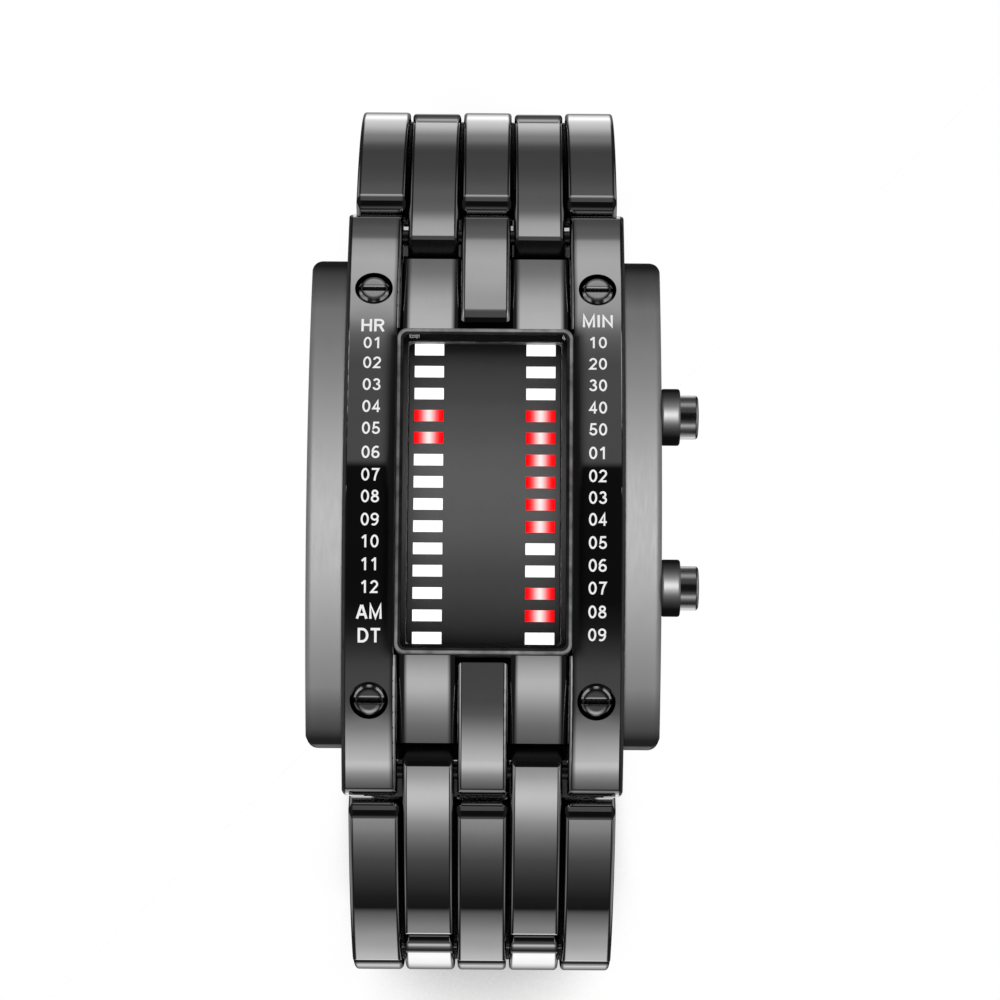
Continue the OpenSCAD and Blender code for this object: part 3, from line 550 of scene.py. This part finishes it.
def window_rim(name):
    """The window's frame: a pale outer edge that is a painted highlight and a dark lip of painted shade, by
    the distance in from its outline.
    """
    made, tree, skin = new_material(name)
    at = axes(tree, object_place(tree))
    past = [maths(tree, "SUBTRACT", unsigned(tree, at[way]), half - FRAME_CORNER)
            for way, half in (("X", FRAME_X), ("Y", FRAME_Y))]
    from_corner = hypotenuse(tree, *[maths(tree, "MAXIMUM", way, 0.0) for way in past])
    inward = maths(tree, "SUBTRACT", FRAME_CORNER, from_corner)
    pale = mottled(tree, scale=700.0, detail=4.0, low=0.18, high=0.45, roughness=0.4)
    banded = blend(tree, 1.0, pale["Colour"], ramp_over(tree, inward, RIM_HIGHLIGHT_AND_SHADE), "MULTIPLY")
    tree.links.new(banded, skin.inputs["Base Color"])
    tree.links.new(pale["Roughness"], skin.inputs["Roughness"])
    set_plain(skin, {"Metallic": 0.35, "Specular IOR Level": DULL})
    return made


def dress(material, *names):
    """Gives CAD nodes their material."""
    for name in names:
        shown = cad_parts[name]
        shown.data.materials.clear()
        shown.data.materials.append(material)


# Where the bars' middles and edges lie, and where their ends fall away
COLUMN = {"middle": 0.0, "half": COLUMN_HALF, "roll": 0.6 * MM}
LETTER_BAR = {"middle": 12.2 * MM, "half": 3.6 * MM, "roll": 1.1 * MM}
INNER_PLATE = {"middle": 5.6 * MM, "half": 2.75 * MM, "roll": 0.9 * MM}
BAR_END = {"end": 26.8 * MM, "fall": 3.3 * MM, "steep": 0.24}
PLATE_END = {"end": 16.6 * MM, "fall": 8.4 * MM, "steep": 0.19}
CENTRE_NOSE = 18.9 * MM
# Painted shade: how the case's satin darkens over its end walls, by the distance along Y
CASE_END_SHADE = [(0.0, 1.0), (19.5 * MM, 1.0), (21.7 * MM, 0.62), (23.5 * MM, 0.38), (24.5 * MM, 0.1),
             (25.0 * MM, 0.1), (25.08 * MM, 0.6), (26.0 * MM, 0.6)]
SIDES = ("12", "6")


def link_painted_shade(number):
    """Direction that a pair of links slopes in, and where its first pin lies along it, for the painted shade
    on the knuckle; only the first pair's knuckle shows."""
    pin_y, pin_z, slope = LINK_PINS[number]
    out, down = math.cos(math.radians(slope)), -math.sin(math.radians(slope))
    start = (pin_y * out + pin_z * down) * MM if number == 1 else -FAR
    return {"Along Y": out, "Along Z": down, "Start": start}


def dress_bracelet():
    """Polished columns and dark pins on the six links."""
    # Painted shade: the pins are much darker than the plating, as they sit in the shade of the gaps
    dark = metal("dark_pins", grey=0.09, roughness=0.4)
    dress(dark, "case_spring_bars")
    for number in LINK_PINS:
        plated = rolled(f"polished_links_{number}", **COLUMN, pitch=COLUMN_PITCH, recess=COLUMN_GAPS,
                        recess_values=link_painted_shade(number))
        for side in SIDES:
            dress(plated, f"link_{side}_{number}_outer", f"link_{side}_{number}_inner")
            dress(dark, f"link_{side}_{number}_pins")


def dress_bars():
    """Polished plating on the bars and plates of the face."""
    lettered = rolled("polished_letter_bars", **LETTER_BAR, **BAR_END, recess=BAR_PAINTED_SHADE)
    dress(lettered, "letter_bar_left", "letter_bar_right")
    dress(rolled("polished_centre_top", **COLUMN, **BAR_END, nose=CENTRE_NOSE), "centre_bar_top")
    dress(rolled("polished_centre_bottom", **COLUMN, **BAR_END), "centre_bar_bottom")
    # Painted light and shade: the top plates are a lighter copy and the bottom plates a darker copy of one
    # plating
    dress(rolled("polished_top_plates", **INNER_PLATE, grey=0.4), "inner_plates_top")
    dress(rolled("polished_bottom_plates", **INNER_PLATE, **PLATE_END, grey=0.3), "inner_plates_bottom")


def dress_case():
    """Satin on the case and collars, and polish on the pushers and screws."""
    # The case's bed and end walls and the collars' ends carry painted shade
    satin = metal("satin_gunmetal", grey=0.3, roughness=0.62, hairlines=0.12, depth=2e-6, recess=CASE_BED,
                  ends=CASE_END_SHADE)
    collar = metal("satin_collar", grey=0.24, roughness=0.5, hairlines=0.1, depth=1e-6, recess=COLLAR_ENDS)
    dress(satin, "case_body")
    dress(collar, "pusher_tubes")
    dress(metal("polished_pushers", grey=0.3, roughness=0.2), "pusher_upper", "pusher_lower")
    dress(metal("turned_screw", grey=0.27, roughness=0.14, hairlines=0.1, form=PILLOW_HEADS), "face_screws")


def dress_hidden_metal():
    """Plain metals of the clasp, the back and the small parts inside."""
    gunmetal = metal("brushed_gunmetal", grey=0.26, roughness=0.3, hairlines=0.3, depth=3e-6)
    steel = metal("brushed_steel", grey=0.5, roughness=0.34, hairlines=0.3, depth=3e-6)
    brass = metal("spring_brass", grey=0.75, roughness=0.3, tint=(1.0, 0.77, 0.37))
    dress(gunmetal, "clasp_cover")
    dress(steel, "case_back", "clasp_blade_1", "clasp_blade_2", "coin_cells")
    dress(metal("pin_steel", grey=0.5, roughness=0.25), "back_screws", "pusher_springs", "pusher_clip_upper",
          "pusher_clip_lower", "clasp_hinge_pins", "clasp_fold_pin", "clasp_stud", "clasp_spring_bar")
    dress(brass, "battery_strap", "pusher_contacts")


def dress_window():
    """The window with its lamps: the numbers are the lit rows, counted from the top."""
    dress(window_rim("window_rim"), "window_frame")
    dress(smoked_glass("smoked_glass"), "crystal")
    dress(display_face("display_face"), "display_mask", "crystal_gasket")
    dress(lamp_faces("hour_lamp_faces", [4, 5]), "hour_lamps")
    dress(lamp_faces("minute_lamp_faces", [4, 5, 6, 7, 8, 9, 12, 13]), "minute_lamps")


def dress_module():
    """Moulded and matt parts inside the case."""
    dress(moulded("black_rubber", (0.02, 0.02, 0.02), roughness=0.7), "back_gasket", "pusher_seals")
    dress(moulded("green_board", (0.02, 0.12, 0.05), roughness=0.45), "lamp_board")
    dress(moulded("black_chip", (0.02, 0.02, 0.02), roughness=0.5), "driver_chip")
    dress(moulded("grey_module", (0.05, 0.05, 0.055), roughness=0.5), "module_frame")


dress_bracelet()
dress_bars()
dress_case()
dress_hidden_metal()
dress_window()
dress_module()


# Lettering: strokes of a plain alphabet, drawn in heights of a capital

def bow(x, y, rx, ry, start, end, count=15):
    """Points on an ellipse about (x, y), from one angle to another in degrees."""
    turn = np.radians(np.linspace(start, end, count))
    return np.stack([x + rx * np.cos(turn), y + ry * np.sin(turn)], axis=1)


def line(*points):
    """Points of a broken line."""
    return np.array(points, dtype=float)


def joined(*parts):
    """Pieces of one stroke put end to end."""
    return np.concatenate(parts)


FIGURE = 0.66
SIX = [(bow(0.33, 0.305, 0.245, 0.235, 0, 340, 24), True), (bow(0.40, 0.44, 0.315, 0.49, 172, 62, 14), False)]
# Width of each glyph, and its strokes as points with a mark for closed ones
GLYPHS = {
    "0": (FIGURE, [(bow(0.33, 0.5, 0.245, 0.43, 0, 350, 36), True)]),
    "1": (FIGURE, [(line((0.39, 0.0), (0.39, 1.0)), False),
                   (line((0.12, 0.73), (0.24, 0.81), (0.33, 0.92)), False)]),
    "2": (FIGURE, [(joined(bow(0.33, 0.69, 0.235, 0.24, 172, -28, 14),
                           line((0.10, 0.07), (0.6, 0.07))), False)]),
    "3": (FIGURE, [(joined(bow(0.32, 0.735, 0.2, 0.195, 165, -75, 14),
                           bow(0.32, 0.29, 0.245, 0.22, 78, -168, 18)), False)]),
    "4": (FIGURE, [(line((0.45, 0.0), (0.45, 0.93), (0.08, 0.29), (0.38, 0.29)), False),
                   (line((0.52, 0.29), (0.63, 0.29)), False)]),
    "5": (FIGURE, [(joined(line((0.58, 0.93), (0.2, 0.93), (0.14, 0.48)),
                           bow(0.325, 0.315, 0.25, 0.245, 128, -166, 20)), False)]),
    "6": (FIGURE, SIX),
    "7": (FIGURE, [(line((0.06, 0.93), (0.58, 0.93), (0.44, 0.66), (0.33, 0.34), (0.28, 0.0)), False)]),
    "8": (FIGURE, [(bow(0.33, 0.745, 0.195, 0.185, 0, 345, 24), True),
                   (bow(0.33, 0.285, 0.245, 0.215, 0, 345, 24), True)]),
    "9": (FIGURE, [(np.array([FIGURE, 1.0]) - points, shut) for points, shut in SIX]),
    "A": (0.78, [(line((0.06, 0.0), (0.37, 0.96)), False), (line((0.41, 0.96), (0.72, 0.0)), False),
                 (line((0.2, 0.3), (0.58, 0.3)), False)]),
    "D": (0.78, [(joined(line((0.1, 0.07), (0.1, 0.93), (0.32, 0.93)),
                         bow(0.33, 0.5, 0.35, 0.43, 84, -84, 18), line((0.32, 0.07))), True)]),
    "H": (0.78, [(line((0.1, 0.0), (0.1, 1.0)), False), (line((0.68, 0.0), (0.68, 1.0)), False),
                 (line((0.17, 0.52), (0.61, 0.52)), False)]),
    "I": (0.24, [(line((0.12, 0.0), (0.12, 1.0)), False)]),
    "M": (0.9, [(line((0.1, 0.0), (0.1, 0.96), (0.45, 0.1), (0.8, 0.96), (0.8, 0.0)), False)]),
    "N": (0.78, [(line((0.1, 0.0), (0.1, 0.9), (0.68, 0.1), (0.68, 1.0)), False)]),
    "R": (0.76, [(joined(line((0.1, 0.0), (0.1, 0.93), (0.4, 0.93)),
                         bow(0.42, 0.715, 0.22, 0.215, 84, -84, 12), line((0.4, 0.5), (0.17, 0.5))), False),
                 (line((0.44, 0.45), (0.68, 0.0)), False)]),
    "T": (0.7, [(line((0.02, 0.93), (0.68, 0.93)), False), (line((0.35, 0.86), (0.35, 0.0)), False)]),
}
CAP = 1.27 * MM
# Size in capitals and stroke of the words and of the numbers, the gap between letters, and the sharpest mitre
WORD_SIZE, WORD_STROKE = 1.13, 0.17
NUMBER_SIZE, NUMBER_STROKE = 1.0, 0.15
LETTER_GAP = 0.12
SHARPEST = 0.42
# Bottom and top of the print, over the face of the bars
PRINT_LOW, PRINT_HIGH = -0.004 * MM, 0.012 * MM

# Words and how far up the bar in millimetres their middles lie
HOURS = [("HR", 17.22), ("01", 15.22), ("02", 13.0), ("03", 10.6), ("04", 8.25), ("05", 5.95), ("06", 3.45),
         ("07", 1.15), ("08", -1.05), ("09", -3.38), ("10", -5.57), ("11", -7.85), ("12", -10.12),
         ("AM", -12.62), ("DT", -15.0)]
MINUTES = [("MIN", 17.87), ("10", 15.39), ("20", 13.0), ("30", 10.64), ("40", 8.25), ("50", 5.95),
           ("01", 3.5), ("02", 1.15), ("03", -1.05), ("04", -3.25), ("05", -5.57), ("06", -7.85),
           ("07", -10.12), ("08", -12.5), ("09", -14.8)]


def unit(vectors):
    """Vectors of length 1."""
    return vectors / np.linalg.norm(vectors, axis=1, keepdims=True)


def to_left(ways):
    """Unit vectors a quarter turn to the left of a stroke's ways."""
    return unit(ways) @ np.array([[0.0, 1.0], [-1.0, 0.0]])


def stroke_sides(points, shut, width):
    """Left and right edges of a stroke: each point goes out by half the width along its segments' mitre."""
    before, after = np.roll(points, 1, axis=0), np.roll(points, -1, axis=0)
    if not shut:
        before[0] = 2 * points[0] - points[1]
        after[-1] = 2 * points[-1] - points[-2]
    first, second = to_left(points - before), to_left(after - points)
    mitre = unit(first + second)
    reach = width / 2 / np.maximum((mitre * first).sum(axis=1, keepdims=True), SHARPEST)
    return points + mitre * reach, points - mitre * reach


def stroke_solid(points, shut, width, start):
    """A stroke as a flat bar: four corners at each point, joined along the stroke and capped at open ends."""
    left, right = [side * CAP for side in stroke_sides(points, shut, width)]
    count = len(points)
    low, high = np.full((count, 1), PRINT_LOW), np.full((count, 1), PRINT_HIGH)
    corners = (left, high), (right, high), (right, low), (left, low)
    rings = np.stack([np.hstack(corner) for corner in corners], axis=1)

    def at(ring, corner):
        """Number of a corner in the mesh, for rings and corners that may run past the last one."""
        return start + 4 * (ring % count) + corner % 4

    ring, corner = np.meshgrid(np.arange(count if shut else count - 1), np.arange(4), indexing="ij")
    sides = [at(ring, corner), at(ring, corner + 1), at(ring + 1, corner + 1), at(ring + 1, corner)]
    faces = np.stack(sides, axis=2).reshape(-1, 4)
    if not shut:
        ends = np.arange(4)
        faces = np.vstack([faces, at(0, ends[::-1]), at(count - 1, ends)])
    return rings.reshape(-1, 3), faces


def lettering(name, words, x, material):
    """Printed words wrapped round the arch: height on the bar is the angle, and each word is centred on x."""
    corners, faces, start = [], [], 0
    for word, y in words:
        size, stroke = (WORD_SIZE, WORD_STROKE) if word.isalpha() else (NUMBER_SIZE, NUMBER_STROKE)
        widths = [GLYPHS[letter][0] for letter in word]
        pen = -(sum(widths) + LETTER_GAP * (len(word) - 1)) / 2
        for letter, width in zip(word, widths):
            for points, shut in GLYPHS[letter][1]:
                rings, sides = stroke_solid(points + np.array([pen, -0.5]), shut, stroke, start)
                corners.append(rings * np.array([size, size, 1.0]) + np.array([x, y * MM, 0.0]))
                faces.append(sides)
                start += len(rings)
            pen += width + LETTER_GAP
    flat = np.vstack(corners)
    angle, radius = flat[:, 1] / ARCH_R, ARCH_R + flat[:, 2]
    height = FACE_TOP - ARCH_R + radius * np.cos(angle)
    placed = np.stack([flat[:, 0], radius * np.sin(angle), height], axis=1)
    mesh = bpy.data.meshes.new(name)
    mesh.from_pydata(placed.tolist(), [], np.vstack(faces).tolist())
    mesh.materials.append(material)
    piece = bpy.data.objects.new(name, mesh)
    SCENE.collection.objects.link(piece)
    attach(piece, "case")


white_print = moulded("white_print", (0.9, 0.9, 0.9), roughness=0.5, contrast=0.03)
lettering("hour_print", HOURS, -LETTER_X, white_print)
lettering("minute_print", MINUTES, LETTER_X, white_print)


# Studio

# Brightness that metal mirrors, by the angle in degrees from straight up: panels on the side of six o'clock,
# dark air overhead, and panels on the side of twelve. A ramp holds 32 stops, so each side has its own
SIX_PANELS = [(-180, 0.1), (-172, 0.3), (-160, 1.6), (-150, 2.1), (-135, 1.3), (-125, 0.95), (-118, 0.8),
              (-111, 0.5), (-105.5, 0.28), (-104.3, 0.27), (-103.7, 0.02), (-97, 0.035), (-88, 0.09),
              (-80, 0.17), (-75, 0.28), (-70, 0.45), (-65, 0.72), (-61, 1.1), (-57, 1.45), (-54, 1.5),
              (-51, 1.3), (-48.5, 1.05), (-46, 0.75), (-43, 0.42), (-41, 0.25), (-38, 0.17), (-31, 0.155),
              (-27, 0.09), (-22, 0.03)]
OVERHEAD = (-16, 0.012)
TWELVE_PANELS = [(14.9, 0.012), (15.2, 0.18), (38, 0.18), (39.9, 0.205), (41.8, 0.235), (43.7, 0.28),
                 (45.5, 0.34), (47.4, 0.48), (49.3, 0.72), (51.3, 0.88), (55, 0.9), (60, 1.06), (65, 1.12),
                 (69, 0.92), (74, 0.35), (79, 0.28), (84, 0.26), (90, 0.19), (97, 0.15), (108, 0.13),
                 (112, 0.18), (117, 0.42), (121, 0.5), (128.6, 1.05), (137, 1.3), (142, 2.0), (150, 0.4),
                 (165, 0.1), (180, 0.1)]
# The same for metal that is turned well away to either side, which meets softer and brighter panels
SIDE_PANELS = [(-180, 0.55), (-140, 0.5), (-110, 0.42), (-99, 0.22), (-92, 0.1), (-84, 0.28), (-60, 0.85),
               (-40, 1.15), (-20, 0.75), (0, 0.5), (20, 0.75), (40, 1.15), (60, 0.85), (84, 0.28), (92, 0.1),
               (99, 0.22), (110, 0.42), (140, 0.5), (180, 0.55)]
BRIGHTEST = 2.1
# Between the two lies a dark band on each side, by how far a direction leans out in X
DARK_BAND = 0.03
INTO_DARK, OUT_OF_DARK = (0.08, 0.26), (0.52, 0.64)
# What matt surfaces are lit by all round
SOFT_FILL = 0.35


def turned(angle):
    """An angle in degrees as a share of the whole turn, from straight down to straight down again."""
    return 0.5 + angle / 360


def panels(tree, direction):
    """The panels that metal mirrors in a direction: front ones, the dark band beside them, and side ones."""
    round_x = maths(tree, "ARCTAN2", direction["Y"], direction["Z"])
    share = maths(tree, "MULTIPLY_ADD", round_x, 0.5 / math.pi, 0.5)
    six, twelve, outer = [ramp(tree, share, [(turned(angle), value / BRIGHTEST) for angle, value in stops])
                          for stops in ([*SIX_PANELS, OVERHEAD], [OVERHEAD, *TWELVE_PANELS], SIDE_PANELS)]
    front = blend(tree, maths(tree, "GREATER_THAN", share, turned(OVERHEAD[0])), six, twelve)
    aside = unsigned(tree, direction["X"])
    into_dark, out_of_dark = [ramp(tree, aside, [(first, 0.0), (last, 1.0)])
                              for first, last in (INTO_DARK, OUT_OF_DARK)]
    banded = blend(tree, into_dark, front, (DARK_BAND / BRIGHTEST,) * 3)
    return blend(tree, out_of_dark, banded, outer)


def studio_world():
    """White all round for the camera, panels for metal and glass, and a soft fill for matt surfaces."""
    world = bpy.data.worlds.new("studio")
    SCENE.world = world
    world.use_nodes = True
    world.cycles.sampling_method = "NONE"
    tree = world.node_tree
    tree.nodes.clear()
    mirrored = add(tree, "Background", {"Strength": BRIGHTEST})
    direction = axes(tree, add(tree, "TexCoord").outputs["Generated"])
    tree.links.new(panels(tree, direction), mirrored.inputs["Color"])
    fill = add(tree, "Background", {"Color": (1, 1, 1, 1), "Strength": SOFT_FILL})
    white = add(tree, "Background", {"Color": (1, 1, 1, 1), "Strength": 1.0})
    path = add(tree, "LightPath")
    glossy = maths(tree, "MAXIMUM", path.outputs["Is Glossy Ray"], path.outputs["Is Transmission Ray"])
    lit = mixed(tree, glossy, fill, mirrored)
    shown = mixed(tree, path.outputs["Is Camera Ray"], lit, white)
    tree.links.new(shown.outputs[0], add(tree, "OutputWorld").inputs["Surface"])


FLOOR_HALF, FLOOR_Z = 6.0, -0.05 * MM
# How near a piece has to be to shade the floor, and how much lighter than plain occlusion its shadow is
SHADOW_REACH, SHADOW_POWER, SHADOW_GAIN = 0.03, 2.0, 1.9


def floor_material():
    """A clear floor over the white surround, darkened to the camera where something is close to it."""
    made, tree, skin = new_material("studio_floor")
    set_plain(skin, {"Base Color": opaque(0.92), "Roughness": 0.9})
    open_sky = add(tree, "AmbientOcclusion", {"Distance": SHADOW_REACH}, samples=16)
    clear = add(tree, "BsdfTransparent")
    shadow = maths(tree, "MULTIPLY", maths(tree, "POWER", open_sky.outputs["AO"], SHADOW_POWER), SHADOW_GAIN)
    tree.links.new(maths(tree, "MINIMUM", shadow, 1.0), clear.inputs["Color"])
    seen = add(tree, "LightPath").outputs["Is Camera Ray"]
    tree.links.new(mixed(tree, seen, skin, clear).outputs[0], tree.nodes["Material Output"].inputs["Surface"])
    return made


def studio_floor():
    """A square sheet just under the watch, which metal doesn't mirror."""
    mesh = bpy.data.meshes.new("floor")
    corners = [(x * FLOOR_HALF, y * FLOOR_HALF, FLOOR_Z) for x, y in ((-1, -1), (1, -1), (1, 1), (-1, 1))]
    mesh.from_pydata(corners, [], [(0, 1, 2, 3)])
    mesh.materials.append(floor_material())
    piece = bpy.data.objects.new("floor", mesh)
    SCENE.collection.objects.link(piece)
    piece.visible_glossy = False


def lamp(name, place, aim, size, power, receivers=()):
    """A soft round lamp that metal doesn't mirror; with receivers it lights those alone, gloss and all."""
    light = bpy.data.lights.new(name, "AREA")
    light.shape = "DISK"
    light.size = size
    light.energy = power
    holder = bpy.data.objects.new(name, light)
    SCENE.collection.objects.link(holder)
    holder.location = place
    holder.rotation_mode = "QUATERNION"
    holder.rotation_quaternion = (Vector(aim) - Vector(place)).to_track_quat("-Z", "Y")
    holder.visible_camera = False
    holder.visible_glossy = bool(receivers)
    if receivers:
        chosen = bpy.data.collections.new(name + "_receivers")
        for node in receivers:
            chosen.objects.link(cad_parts[node])
        holder.light_linking.receiver_collection = chosen


WATCH_MIDDLE = (0, 0, 0.03)

studio_world()
studio_floor()
lamp("key", place=(-0.25, -0.2, 0.75), aim=WATCH_MIDDLE, size=0.5, power=3.2)
lamp("fill", place=(0.35, 0.3, 0.7), aim=WATCH_MIDDLE, size=0.5, power=1.6)
lamp("satin_glow", place=(0, 0.004, 0.42), aim=(0, 0, 0.05), size=0.05, power=1.12,
     receivers=["case_body", "pusher_tubes"])


# Camera: it leans back from straight above and rolls a little, and aims beside the middle of the face

DISTANCE, FOCAL_LENGTH, SENSOR = 390 * MM, 140.4, 36
NEAREST, FARTHEST = 0.01, 20
LEAN, ROLL = math.radians(9.5), math.radians(0.4)
ASIDE, ALONG = 1.6 * MM, -1.35 * MM


def studio_camera():
    """The camera, from its distance, lean and roll."""
    right = Vector((1, 0, 0))
    up = Vector((0, math.cos(LEAN), math.sin(LEAN)))
    back = Vector((0, -math.sin(LEAN), math.cos(LEAN)))
    target = Vector((0, 0, FACE_TOP)) + ASIDE * right + ALONG * up
    right, up = math.cos(ROLL) * right + math.sin(ROLL) * up, math.cos(ROLL) * up - math.sin(ROLL) * right
    lens = bpy.data.cameras.new("camera")
    lens.sensor_width = SENSOR
    lens.lens = FOCAL_LENGTH
    lens.clip_start, lens.clip_end = NEAREST, FARTHEST
    camera = bpy.data.objects.new("camera", lens)
    SCENE.collection.objects.link(camera)
    turn = Matrix((right, up, back)).transposed().to_4x4()
    camera.matrix_world = Matrix.Translation(target + back * DISTANCE) @ turn
    SCENE.camera = camera


studio_camera()
SCENE.view_settings.view_transform = "Standard"
